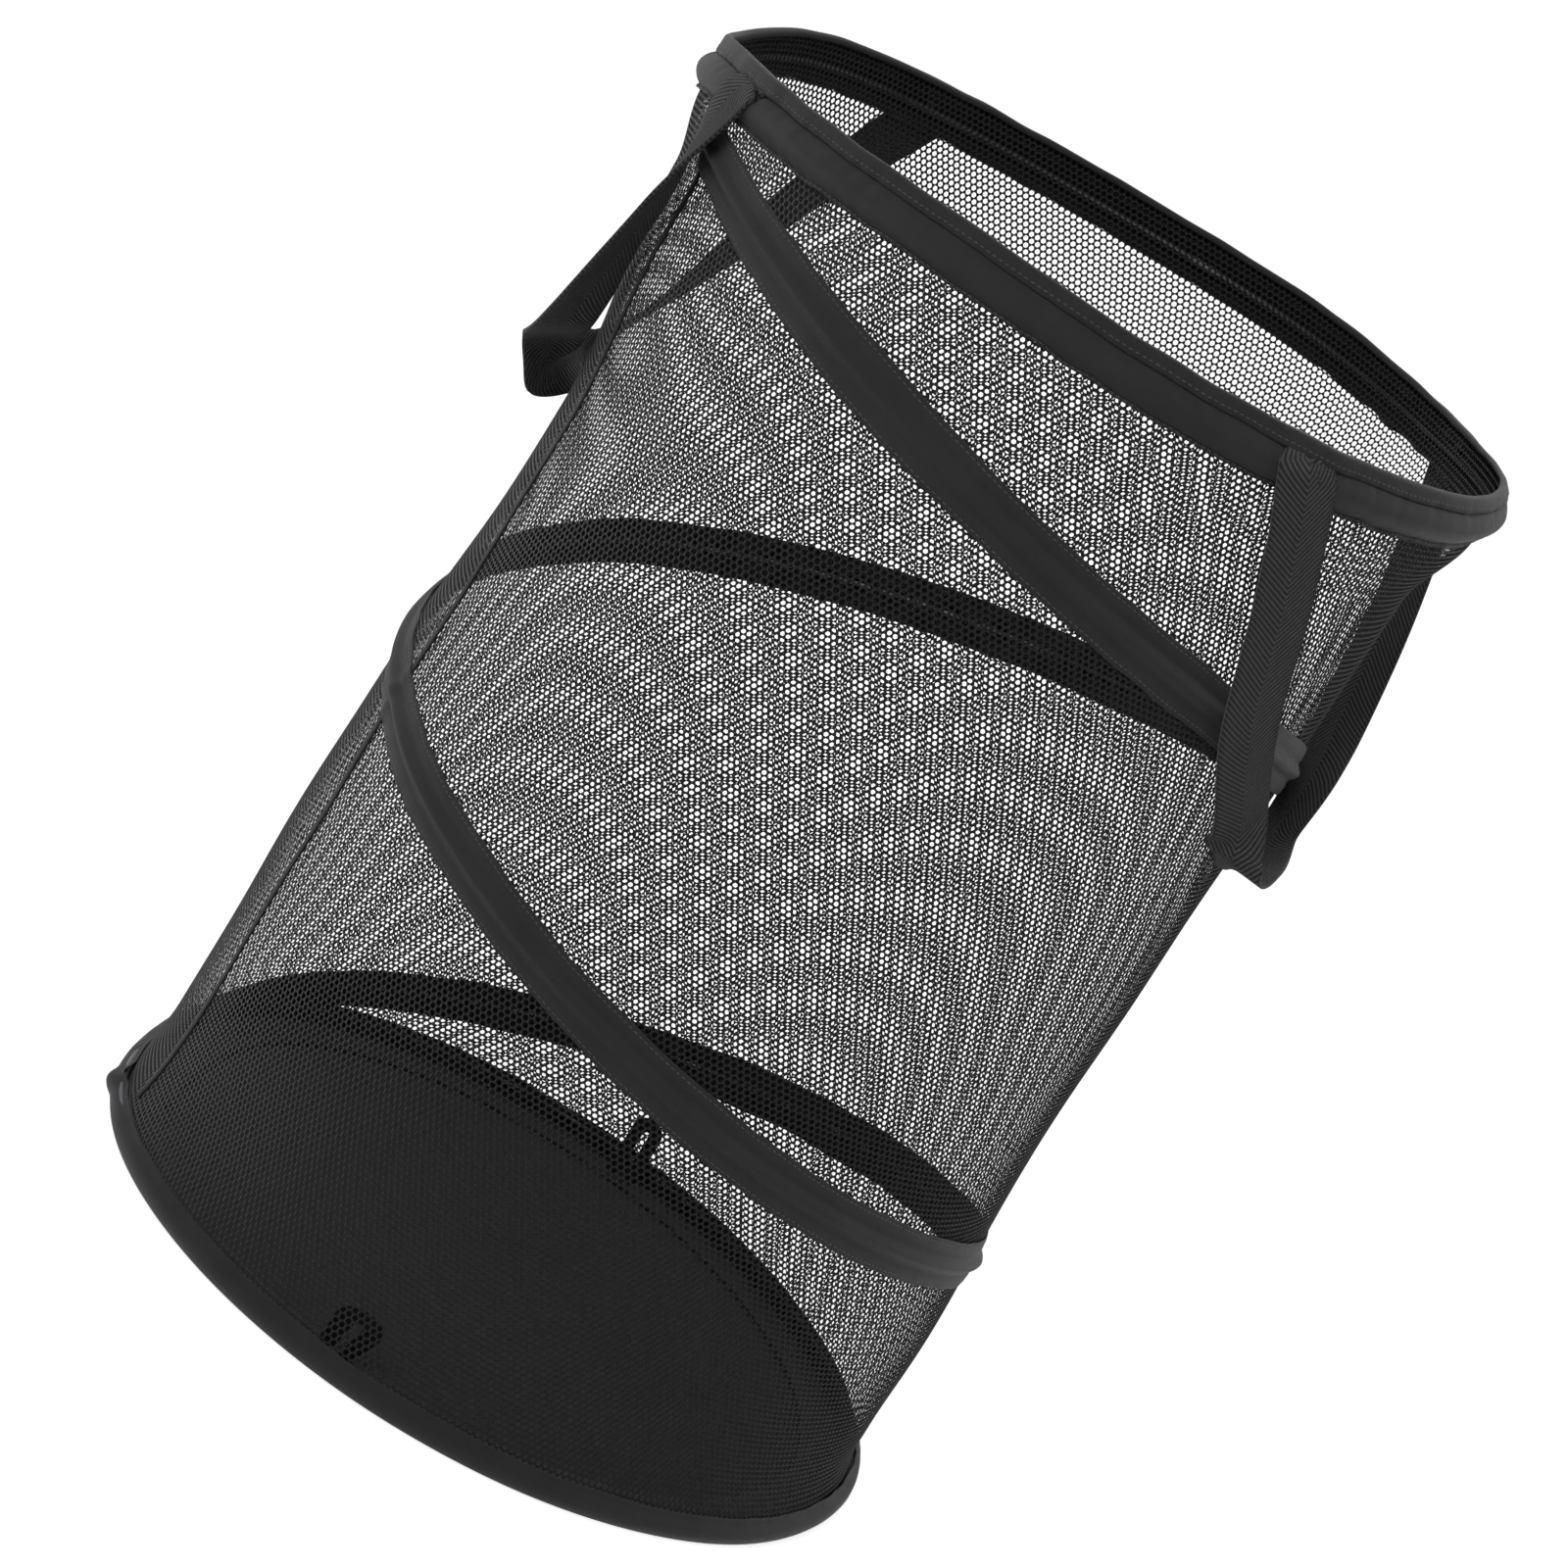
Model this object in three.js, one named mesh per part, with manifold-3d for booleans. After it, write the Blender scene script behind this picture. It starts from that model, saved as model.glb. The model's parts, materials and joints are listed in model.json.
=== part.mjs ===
// A pop-up laundry hamper: a mesh tube held open by a spring-wire spiral between two wire rings.
// Lengths are in millimetres, Z is up, and the origin is on the floor at the centre of the base.
// The two webbing handles hang on the -X and +X sides.

import * as THREE from 'three';
import { mergeVertices } from 'three/addons/utils/BufferGeometryUtils.js';
import Module from 'manifold-3d';

const manifold = await Module();
manifold.setup();

// Whole hamper
const height = 508;
const rimDiameter = 356; // over the wire bulge of the rim
const baseDiameter = 362; // over the wire bulge of the base
const wallDiameter = 335.6; // over the mesh, between the flares
const topFlareLength = 20;
const bottomFlareLength = 22;
const facets = 48; // flat sides of everything round

// Cloth, tape and wire
const meshThickness = 0.8;
const tapeThickness = 1;
const wireDiameter = 3;
const clearance = 0.3; // between pieces that touch
const ringWireSides = 6;
const spiralWireSides = 6;

// Crimped sleeve that closes each ring
const sleeveThickness = 0.4;
const sleeveLength = 14;
const sleeveSides = 12;

// Rim casing
const rimCasingHeight = 30;
const rimBandHeight = 9; // doubled band above the upper stitch line
const rimHemHeight = 1.5; // flat edge below the lower stitch line

// Base casing and panel
const baseCasingHeight = 15;
const baseHemHeight = 2;
const panelThickness = 1.2;
const footChamfer = 0.8;

// Spiral
const spiralTapeWidth = 25;
const spiralRidgeWidth = 8;
const spiralTurns = 1.875; // from the rim casing to the base casing
const spiralTopInset = 6; // from the rim casing down to the centre line
const spiralEndInset = 6.25; // from the base casing up to the centre line
const spiralStartAngle = THREE.MathUtils.degToRad(217.5);
const spiralSag = 12.5; // below a straight run, where it hangs lowest
const spiralSagPlaceShare = 0.66; // of the run, at the middle of the sag
const spiralSagSpreadShare = 0.31; // of the run, from there to where most of the sag is gone
const spiralSagPower = 4; // how level the sag is between
const ridgeSteps = 4;

// Mesh wall, in bands that fold over each other, with a plain grid of openings
const wallBands = 4;
const openingsAround = 24;
const meshBar = 14; // between one opening and the next
const cutOverrun = 5;

// Vertical seam of the mesh
const seamWidth = 4;
const seamThickness = 0.8;
const seamStandOff = 0.5;
const seamAngle = THREE.MathUtils.degToRad(217.5);
const seamSteps = 12;

// Handles: two loops of webbing, each with its own hang
const webbingWidth = 25;
const webbingThickness = 1.5;
const handleCurveShare = 1.5;
const handleSteps = 44;
const handleLevelPower = 12; // how suddenly the webbing turns level at its sewn ends
const handleBottomTwist = THREE.MathUtils.degToRad(35); // of its upper edge away from the wall
const handleTurnShare = 0.35; // of a leg, over which the twist of the bottom runs out
const sewnEndSides = 4;
const leftHandle = {
  middle: THREE.MathUtils.degToRad(180),
  spread: THREE.MathUtils.degToRad(44), // from the middle of the loop to a sewn end
  drop: 155, // from the sewn ends down to the bottom of the loop
  offset: 9.6, // from the mesh to the middle of the webbing, at the bottom
  legTwist: THREE.MathUtils.degToRad(-44), // half way down a leg
};
const rightHandle = {
  middle: THREE.MathUtils.degToRad(-4),
  spread: THREE.MathUtils.degToRad(40),
  drop: 167,
  offset: 15.5,
  legTwist: THREE.MathUtils.degToRad(32),
};

// Elastic loops at the base seam
const loopHeight = 34;
const loopLegWidth = 6;
const loopGap = 3;
const loopThickness = 1.2;
const loopInset = 6; // from the mesh to the top of the loop
const loopBendSides = 10;

// Derived sizes
const wireRadius = wireDiameter / 2;
const sleeveRadius = wireRadius + clearance + sleeveThickness;
const wireSeat = sleeveRadius + clearance; // from the mesh to the middle of a ring wire
const tapeInside = clearance;
const tapeOutside = clearance + tapeThickness;
const tunnelInside = wireSeat + sleeveRadius + clearance;
const tunnelOutside = tunnelInside + tapeThickness;
const rimSeatRadius = rimDiameter / 2 - tunnelOutside;
const baseSeatRadius = baseDiameter / 2 - tunnelOutside;
const wallRadius = wallDiameter / 2;
const facetAngle = (2 * Math.PI) / facets;
const rimCasingBottom = height - rimCasingHeight;
const rimTunnelBottom = rimCasingBottom + rimHemHeight;
const rimTunnelTop = height - rimBandHeight;
const rimWireHeight = (rimTunnelBottom + rimTunnelTop) / 2;
const baseTunnelTop = baseCasingHeight - baseHemHeight;
const baseWireHeight = (tapeThickness + baseTunnelTop) / 2;
const wallBottom = tapeThickness + clearance;
const wallTop = height - tapeThickness - clearance;
const panelRadius = baseSeatRadius - meshThickness - 2 * clearance;

// Colours and finishes
const finish = (color, roughness, metalness = 0) =>
  new THREE.MeshStandardMaterial({ color, roughness, metalness });
const meshFinish = () => {
  const cloth = finish(0x1b1b1d, 0.75);
  cloth.transparent = true;
  cloth.opacity = 0.55;
  cloth.side = THREE.DoubleSide;
  return cloth;
};
const tapeFinish = () => finish(0x2b2b2e, 0.45);
const webbingFinish = () => finish(0x202022, 0.8);
const steelFinish = () => finish(0x8f9296, 0.35, 0.9);
const panelFinish = () => finish(0x242426, 0.7);

const group = new THREE.Group();

function place(name, geometry, material) {
  const mesh = new THREE.Mesh(geometry, material);
  mesh.name = name;
  group.add(mesh);
  return mesh;
}

// Merges shared points and turns the faces outwards.
function closed(geometry) {
  geometry.deleteAttribute('uv');
  geometry.deleteAttribute('normal');
  const solid = mergeVertices(geometry);
  const at = solid.getAttribute('position');
  const index = solid.getIndex();
  const [a, b, c] = [new THREE.Vector3(), new THREE.Vector3(), new THREE.Vector3()];
  let volume = 0;
  const kept = [];
  for (let i = 0; i < index.count; i += 3) {
    const corner = [index.getX(i), index.getX(i + 1), index.getX(i + 2)];
    if (corner[0] === corner[1] || corner[1] === corner[2] || corner[2] === corner[0]) continue;
    kept.push(corner);
    a.fromBufferAttribute(at, corner[0]);
    b.fromBufferAttribute(at, corner[1]);
    c.fromBufferAttribute(at, corner[2]);
    volume += a.dot(b.cross(c));
  }
  solid.setIndex(kept.flatMap(([i, j, k]) => (volume < 0 ? [i, k, j] : [i, j, k])));
  solid.computeVertexNormals();
  return solid;
}

// A ring turned about Z from a closed outline of [radius, height] pairs.
function turned(outline, sides = facets) {
  const points = [...outline, outline[0]].map(([r, z]) => new THREE.Vector2(r, z));
  return closed(new THREE.LatheGeometry(points, sides).rotateX(Math.PI / 2));
}

// A closed skin over rings of points, with the first and last ring filled in.
function lofted(rings) {
  const count = rings[0].length;
  const positions = rings.flat().flatMap((p) => [p.x, p.y, p.z]);
  const triangles = [];
  for (let i = 0; i + 1 < rings.length; i += 1) {
    for (let j = 0; j < count; j += 1) {
      const k = (j + 1) % count;
      const [low, high] = [i * count, (i + 1) * count];
      triangles.push(low + j, low + k, high + k, low + j, high + k, high + j);
    }
  }
  const flat = outlineOf(rings[0]);
  const last = (rings.length - 1) * count;
  for (const [p, q, r] of THREE.ShapeUtils.triangulateShape(flat, [])) {
    const outward = THREE.ShapeUtils.isClockWise(flat) ? [p, r, q] : [p, q, r];
    triangles.push(outward[0], outward[2], outward[1]);
    triangles.push(last + outward[0], last + outward[1], last + outward[2]);
  }
  const geometry = new THREE.BufferGeometry();
  geometry.setAttribute('position', new THREE.Float32BufferAttribute(positions, 3));
  geometry.setIndex(triangles);
  return geometry;
}

// The points of a plane ring in the ring's own plane.
function outlineOf(ring) {
  const across = new THREE.Vector3().subVectors(ring[1], ring[0]).normalize();
  const normal = new THREE.Vector3();
  for (let i = 0; i < ring.length; i += 1) {
    const [p, q] = [ring[i], ring[(i + 1) % ring.length]];
    const [u, v] = [p.clone().sub(ring[0]), q.clone().sub(ring[0])];
    normal.add(u.cross(v));
  }
  const up = new THREE.Vector3().crossVectors(normal.normalize(), across);
  return ring.map((p) => {
    const from = p.clone().sub(ring[0]);
    return new THREE.Vector2(from.dot(across), from.dot(up));
  });
}

const polar = (radius, angle, z) =>
  new THREE.Vector3(radius * Math.cos(angle), radius * Math.sin(angle), z);

// Outer radius of the mesh at a height: straight, with a flare to each ring.
const flares = [
  [baseSeatRadius, wallBottom],
  [baseSeatRadius, baseCasingHeight],
  [wallRadius, baseCasingHeight + bottomFlareLength],
  [wallRadius, rimCasingBottom - topFlareLength],
  [rimSeatRadius, rimCasingBottom],
  [rimSeatRadius, wallTop],
];
function wallAt(z) {
  const above = flares.findIndex((point) => point[1] >= z);
  if (above < 0) return rimSeatRadius;
  if (above === 0) return baseSeatRadius;
  const [[r0, z0], [r1, z1]] = [flares[above - 1], flares[above]];
  return r0 + ((r1 - r0) * (z - z0)) / (z1 - z0);
}

// Height of the tape above the mesh, across a tunnel that stands over its wire.
const archSteps = 6;
function arch(bottom, top, foot, crown, steps = archSteps) {
  const points = [];
  for (let i = 0; i <= steps; i += 1) {
    const share = i / steps;
    const rise = foot + (crown - foot) * Math.sin(Math.PI * share);
    points.push([rise, bottom + (top - bottom) * share]);
  }
  return points;
}

// Rings of spring wire
function ringWire(radius, z) {
  const outline = [];
  for (let i = 0; i < ringWireSides; i += 1) {
    const turn = (2 * Math.PI * i) / ringWireSides;
    outline.push([radius + wireRadius * Math.cos(turn), z + wireRadius * Math.sin(turn)]);
  }
  return turned(outline);
}
const rimWireRadius = rimSeatRadius + wireSeat;
const baseWireRadius = baseSeatRadius + wireSeat;
place('top_ring_wire', ringWire(rimWireRadius, rimWireHeight), steelFinish());
place('bottom_ring_wire', ringWire(baseWireRadius, baseWireHeight), steelFinish());

// Crimped sleeves, each on a straight side of its ring
function sleeve(radius, z) {
  const inside = sleeveRadius - sleeveThickness;
  const half = sleeveLength / 2;
  const outline = [
    [inside, -half],
    [sleeveRadius, -half],
    [sleeveRadius, half],
    [inside, half],
  ];
  const middle = radius * Math.cos(facetAngle / 2);
  const geometry = turned(outline, sleeveSides).rotateX(Math.PI / 2);
  return geometry.translate(middle, 0, z).rotateZ(seamAngle + facetAngle / 2);
}
place('top_ring_ferrule', sleeve(rimWireRadius, rimWireHeight), steelFinish());
place('bottom_ring_ferrule', sleeve(baseWireRadius, baseWireHeight), steelFinish());

// Rim casing: tape over the wire, folded over the top edge of the mesh and down inside it
const rimFromMesh = (points) => points.map(([rise, z]) => [rimSeatRadius + rise, z]);
const hemOutside = -meshThickness - clearance;
const hemInside = hemOutside - tapeThickness;
const rimCasing = rimFromMesh([
  [tapeInside, rimCasingBottom],
  [tapeOutside, rimCasingBottom],
  ...arch(rimTunnelBottom, rimTunnelTop, tapeOutside, tunnelOutside),
  [tapeOutside, height - tapeThickness],
  [tapeInside, height],
  [hemOutside, height],
  [hemInside, height - tapeThickness],
  [hemInside, rimTunnelTop],
  [hemOutside, rimTunnelTop],
  [hemOutside, height - tapeThickness],
  [tapeInside, height - tapeThickness],
  ...arch(rimTunnelBottom, rimTunnelTop, tapeInside, tunnelInside).reverse(),
]);
place('top_rim_casing', turned(rimCasing), tapeFinish());

// Base casing: tape over the wire, folded under the mesh to a flat foot
const baseFromMesh = (points) => points.map(([rise, z]) => [baseSeatRadius + rise, z]);
const footInside = -meshThickness - clearance;
const baseArch = (foot, crown) => arch(tapeThickness, baseTunnelTop, foot, crown);
const baseCasing = baseFromMesh([
  [footInside, 0],
  [tapeOutside + tapeThickness, 0],
  [tapeOutside + tapeThickness + footChamfer, footChamfer],
  ...baseArch(tapeOutside, tunnelOutside).slice(1),
  [tapeOutside, baseCasingHeight],
  [tapeInside, baseCasingHeight],
  ...baseArch(tapeInside, tunnelInside).reverse(),
  [footInside, tapeThickness],
]);
place('bottom_rim_casing', turned(baseCasing), tapeFinish());

// Base panel
const panel = new THREE.CylinderGeometry(panelRadius, panelRadius, panelThickness, facets);
panel.rotateX(Math.PI / 2).rotateZ(Math.PI / 2).translate(0, 0, panelThickness / 2);
place('base_panel', closed(panel), panelFinish());

// Cuts a row of like tools out of a solid.
function cut(solid, tools) {
  const kernel = (geometry) =>
    new manifold.Manifold(
      new manifold.Mesh({
        numProp: 3,
        vertProperties: new Float32Array(geometry.getAttribute('position').array),
        triVerts: new Uint32Array(geometry.getIndex().array),
      }),
    );
  const left = kernel(solid).subtract(manifold.Manifold.union(tools.map(kernel))).getMesh();
  const geometry = new THREE.BufferGeometry();
  const positions = new THREE.Float32BufferAttribute(left.vertProperties, left.numProp);
  geometry.setAttribute('position', positions);
  geometry.setIndex(Array.from(left.triVerts));
  return closed(geometry);
}

// Mesh wall: a thin tube in bands. The openings keep to its straight part between the flares.
const straightBottom = baseCasingHeight + bottomFlareLength;
const straightTop = rimCasingBottom - topFlareLength;
const openingPitch = (2 * Math.PI * wallRadius) / openingsAround;

function wallOpenings(bottom, top) {
  const rows = Math.max(1, Math.round((top - bottom) / openingPitch));
  const rowPitch = (top - bottom) / rows;
  const size = [meshThickness + 2 * cutOverrun, openingPitch - meshBar, rowPitch - meshBar];
  const openings = [];
  for (let row = 0; row < rows; row += 1) {
    for (let i = 0; i < openingsAround; i += 1) {
      const opening = closed(new THREE.BoxGeometry(...size));
      opening.translate(wallRadius - meshThickness / 2, 0, bottom + (row + 1 / 2) * rowPitch);
      openings.push(opening.rotateZ((2 * Math.PI * i) / openingsAround));
    }
  }
  return openings;
}

function wallBand(bottom, top) {
  const rows = [bottom, ...flares.map((point) => point[1]).filter((z) => z > bottom && z < top), top];
  const outside = rows.map((z) => [wallAt(z), z]);
  const inside = rows.map((z) => [wallAt(z) - meshThickness, z]);
  const tube = turned([...outside, ...inside.reverse()]);
  return cut(tube, wallOpenings(Math.max(bottom, straightBottom), Math.min(top, straightTop)));
}
const bandHeight = (wallTop - wallBottom) / wallBands;
for (let i = 0; i < wallBands; i += 1) {
  const bottom = wallBottom + i * bandHeight + (i > 0 ? clearance / 2 : 0);
  const top = wallBottom + (i + 1) * bandHeight - (i + 1 < wallBands ? clearance / 2 : 0);
  place(`mesh_wall_${i + 1}`, wallBand(bottom, top), meshFinish());
}

// Bound seam that closes the mesh into a tube, inside the wall
function seamRing(z) {
  const outside = wallAt(z) - meshThickness - seamStandOff;
  const inside = outside - seamThickness;
  const half = seamWidth / 2;
  const corners = [
    [outside, -half],
    [outside, half],
    [inside, half],
    [inside, -half],
  ];
  return corners.map(([r, y]) => new THREE.Vector3(r, y, z));
}
const seamBottom = baseCasingHeight + clearance;
const seamTop = rimCasingBottom - clearance;
const seamRows = flares.map((point) => point[1]).filter((z) => z > seamBottom && z < seamTop);
for (let i = 0; i <= seamSteps; i += 1) {
  seamRows.push(seamBottom + ((seamTop - seamBottom) * i) / seamSteps);
}
seamRows.sort((a, b) => a - b);
const seam = closed(lofted(seamRows.map(seamRing)).rotateZ(seamAngle));
place('wall_seam', seam, tapeFinish());

// Spiral: one wire in one strip of tape, from the rim to the base
const spiralTopHeight = rimCasingBottom - spiralTopInset;
const spiralDrop = (spiralTopHeight - baseCasingHeight - spiralEndInset) / spiralTurns;
const spiralSlope = Math.atan2(spiralDrop, 2 * Math.PI * wallRadius);
const spiralHalf = spiralTapeWidth / 2 / Math.cos(spiralSlope);
const ridgeHalf = spiralRidgeWidth / 2 / Math.cos(spiralSlope);
const spiralSeat = clearance + wireRadius; // from the mesh to the middle of the spiral wire
const ridgeInside = spiralSeat + wireRadius + clearance;
const ridgeOutside = ridgeInside + tapeThickness;
const spiralTop = rimCasingBottom - clearance;
const spiralBottom = baseCasingHeight + clearance;
const spiralSteps = Math.round(spiralTurns * facets);

// Height of the middle of the spiral tape at a share of its run.
function spiralHeight(share) {
  const reach = Math.abs(share - spiralSagPlaceShare) / spiralSagSpreadShare;
  const sag = spiralSag * Math.exp(-(reach ** spiralSagPower));
  return spiralTopHeight - spiralDrop * spiralTurns * share - sag;
}

function alongSpiral(section) {
  const rings = [];
  for (let i = 0; i <= spiralSteps; i += 1) {
    const angle = i * facetAngle;
    const middle = spiralHeight(i / spiralSteps);
    rings.push(
      section.map(([rise, across]) => {
        const z = Math.min(Math.max(middle + across, spiralBottom), spiralTop);
        return polar(wallAt(z) + rise, spiralStartAngle + angle, z);
      }),
    );
  }
  return rings;
}

function spiralSection() {
  const ridge = (foot, crown) => arch(-ridgeHalf, ridgeHalf, foot, crown, ridgeSteps);
  return [
    [tapeInside, -spiralHalf],
    [tapeOutside, -spiralHalf],
    ...ridge(tapeOutside, ridgeOutside),
    [tapeOutside, spiralHalf],
    [tapeInside, spiralHalf],
    ...ridge(tapeInside, ridgeInside).reverse(),
  ];
}
const spiralCasing = closed(lofted(alongSpiral(spiralSection())));
place('spiral_casing', spiralCasing, tapeFinish());

function wireSection() {
  const points = [];
  for (let i = 0; i < spiralWireSides; i += 1) {
    const turn = (2 * Math.PI * i) / spiralWireSides;
    points.push([spiralSeat + wireRadius * Math.cos(turn), wireRadius * Math.sin(turn)]);
  }
  return points;
}
const spiralWireRings = alongSpiral(wireSection());
place('spiral_wire', closed(lofted(spiralWireRings)), steelFinish());

// Least gap between one turn of the spiral wire and the next, measured on its points
let spiralGap = Infinity;
for (let i = 0; i + facets < spiralWireRings.length; i += 1) {
  for (const p of spiralWireRings[i]) {
    for (const q of spiralWireRings[i + facets]) {
      spiralGap = Math.min(spiralGap, p.distanceTo(q));
    }
  }
}
console.log(`spiral wire, least gap to itself: ${spiralGap.toFixed(1)} mm`);

// Handles: webbing sewn down at both ends, hanging in a loop that twists out from the wall
const webbingHalf = webbingWidth / 2;
const webbingSeat = tunnelOutside + clearance + webbingThickness / 2;
const handleEndHeight = rimWireHeight;
const sewnSeat = clearance;

// A sewn end, from the upper stitch line down to the crown of the rim bulge
function sewnEnd(angle) {
  const rows = arch(rimTunnelBottom, rimTunnelTop, tapeOutside, tunnelOutside).slice(archSteps / 2);
  const half = webbingHalf / (rimDiameter / 2);
  const rings = [];
  for (let i = 0; i <= sewnEndSides; i += 1) {
    const at = angle + half * ((2 * i) / sewnEndSides - 1);
    const near = rows.map(([rise, z]) => polar(rimSeatRadius + rise + sewnSeat, at, z));
    const far = rows.map(([rise, z]) =>
      polar(rimSeatRadius + rise + sewnSeat + webbingThickness, at, z),
    );
    rings.push([...near, ...far.reverse()]);
  }
  return closed(lofted(rings));
}

// How far the webbing is turned about its own line, at a reach from the bottom to a sewn end.
function handleTwist(reach, legTwist) {
  const left = Math.max(0, 1 - reach / handleTurnShare);
  return legTwist * Math.sin(Math.PI * reach) + handleBottomTwist * left * left * (3 - 2 * left);
}

function handleRing(hang, u) {
  const reach = Math.abs(u);
  const angle = hang.spread * u;
  const top = rimSeatRadius + webbingSeat;
  const bottom = wallRadius + hang.offset;
  const rise = Math.pow(reach, handleCurveShare);
  const z = handleEndHeight - clearance - hang.drop * (1 - rise);
  const radius = bottom + (top - bottom) * rise;
  const middle = polar(radius, angle, z);
  const away = polar(1, angle, 0);
  const around = polar(1, angle + Math.PI / 2, 0);
  const slope = handleCurveShare * Math.pow(reach, handleCurveShare - 1) * Math.sign(u);
  const climb = hang.drop * slope;
  const level = radius * hang.spread * (1 - Math.pow(reach, handleLevelPower));
  const along = around.clone().multiplyScalar(level);
  along.z += climb;
  along.normalize();
  const flat = new THREE.Vector3().crossVectors(along, away).normalize();
  const twist = handleTwist(reach, hang.legTwist);
  const across = flat.multiplyScalar(Math.cos(twist)).addScaledVector(away, -Math.sin(twist));
  const through = new THREE.Vector3().crossVectors(along, across).normalize();
  const corners = [
    [-1, -1],
    [1, -1],
    [1, 1],
    [-1, 1],
  ];
  return corners.map(([w, t]) =>
    middle
      .clone()
      .addScaledVector(across, w * webbingHalf)
      .addScaledVector(through, (t * webbingThickness) / 2),
  );
}

function handleLoop(hang) {
  const rings = [];
  for (let i = 0; i <= handleSteps; i += 1) rings.push(handleRing(hang, (2 * i) / handleSteps - 1));
  return closed(lofted(rings));
}
for (const [side, hang, frontTurn] of [
  ['left', leftHandle, 1],
  ['right', rightHandle, -1],
]) {
  const handle = place(`${side}_handle`, handleLoop(hang), webbingFinish());
  handle.rotation.z = hang.middle;
  for (const [end, turn] of [
    ['front', frontTurn],
    ['back', -frontTurn],
  ]) {
    const geometry = sewnEnd(hang.middle + turn * hang.spread);
    place(`${side}_handle_end_${end}`, geometry, webbingFinish());
  }
}

// Elastic loops standing up from the base seam
function elasticLoop() {
  const outer = loopLegWidth + loopGap / 2;
  const inner = loopGap / 2;
  const shoulder = loopHeight - outer;
  const shape = new THREE.Shape();
  shape.moveTo(-outer, 0);
  shape.lineTo(-inner, 0);
  shape.lineTo(-inner, shoulder);
  shape.absarc(0, shoulder, inner, Math.PI, 0, true);
  shape.lineTo(inner, 0);
  shape.lineTo(outer, 0);
  shape.lineTo(outer, shoulder);
  shape.absarc(0, shoulder, outer, 0, Math.PI, false);
  const settings = { depth: loopThickness, bevelEnabled: false, curveSegments: loopBendSides };
  const geometry = new THREE.ExtrudeGeometry(shape, settings);
  return closed(geometry.translate(0, 0, -loopThickness / 2).rotateX(Math.PI / 2));
}
const loopFoot = panelThickness + clearance;
const narrowest = Math.min(wallAt(loopFoot), wallAt(loopFoot + loopHeight));
const loopPlace = narrowest - meshThickness - loopInset;
for (const [name, side] of [
  ['front_elastic_loop', -1],
  ['back_elastic_loop', 1],
]) {
  const loop = place(name, elasticLoop(), webbingFinish());
  loop.position.set(0, side * loopPlace, loopFoot);
}

export default group;
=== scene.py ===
import json
import math

import bmesh
import bpy
import numpy as np
from mathutils import Matrix, Vector, noise


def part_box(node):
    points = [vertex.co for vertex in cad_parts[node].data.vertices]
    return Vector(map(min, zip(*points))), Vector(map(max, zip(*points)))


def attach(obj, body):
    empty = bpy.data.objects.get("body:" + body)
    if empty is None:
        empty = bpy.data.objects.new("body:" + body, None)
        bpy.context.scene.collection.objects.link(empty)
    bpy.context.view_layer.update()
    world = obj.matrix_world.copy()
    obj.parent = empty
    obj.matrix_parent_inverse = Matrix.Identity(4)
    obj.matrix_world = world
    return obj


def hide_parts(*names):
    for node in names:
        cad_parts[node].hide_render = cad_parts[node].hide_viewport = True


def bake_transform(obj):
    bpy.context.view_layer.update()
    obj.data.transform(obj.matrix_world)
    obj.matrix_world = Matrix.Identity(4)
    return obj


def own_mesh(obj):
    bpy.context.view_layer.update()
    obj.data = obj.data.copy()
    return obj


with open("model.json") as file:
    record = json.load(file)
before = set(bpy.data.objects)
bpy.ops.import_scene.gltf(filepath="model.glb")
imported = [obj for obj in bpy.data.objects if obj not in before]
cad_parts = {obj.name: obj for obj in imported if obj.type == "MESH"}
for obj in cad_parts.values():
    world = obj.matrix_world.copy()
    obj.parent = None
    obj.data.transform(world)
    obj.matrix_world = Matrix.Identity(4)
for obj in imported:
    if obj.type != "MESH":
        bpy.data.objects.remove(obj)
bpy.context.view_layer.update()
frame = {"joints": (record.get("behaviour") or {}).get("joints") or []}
bpy.context.scene.view_settings.view_transform = "Standard"

# The view: the hamper from its front, a little to the right of it and above it, through a long
# lens. The camera is rolled to its left, so the standing hamper leans across the picture.
view_side = math.radians(11.3)
view_fall = math.radians(16.23)
view_roll = math.radians(32.08)
view_distance = 1.7031
view_height = 0.7462
sensor_width = 36
lens_length = 99.69
camera_data = bpy.data.cameras.new("camera")
camera_data.sensor_width = sensor_width
camera_data.lens = lens_length
camera = bpy.data.objects.new("camera", camera_data)
bpy.context.scene.collection.objects.link(camera)
camera.matrix_world = (
    Matrix.Rotation(view_side, 4, "Z")
    @ Matrix.Translation((0, -view_distance, view_height))
    @ Matrix.Rotation(math.pi / 2 - view_fall, 4, "X")
    @ Matrix.Rotation(view_roll, 4, "Z")
)
bpy.context.scene.camera = camera


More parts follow.
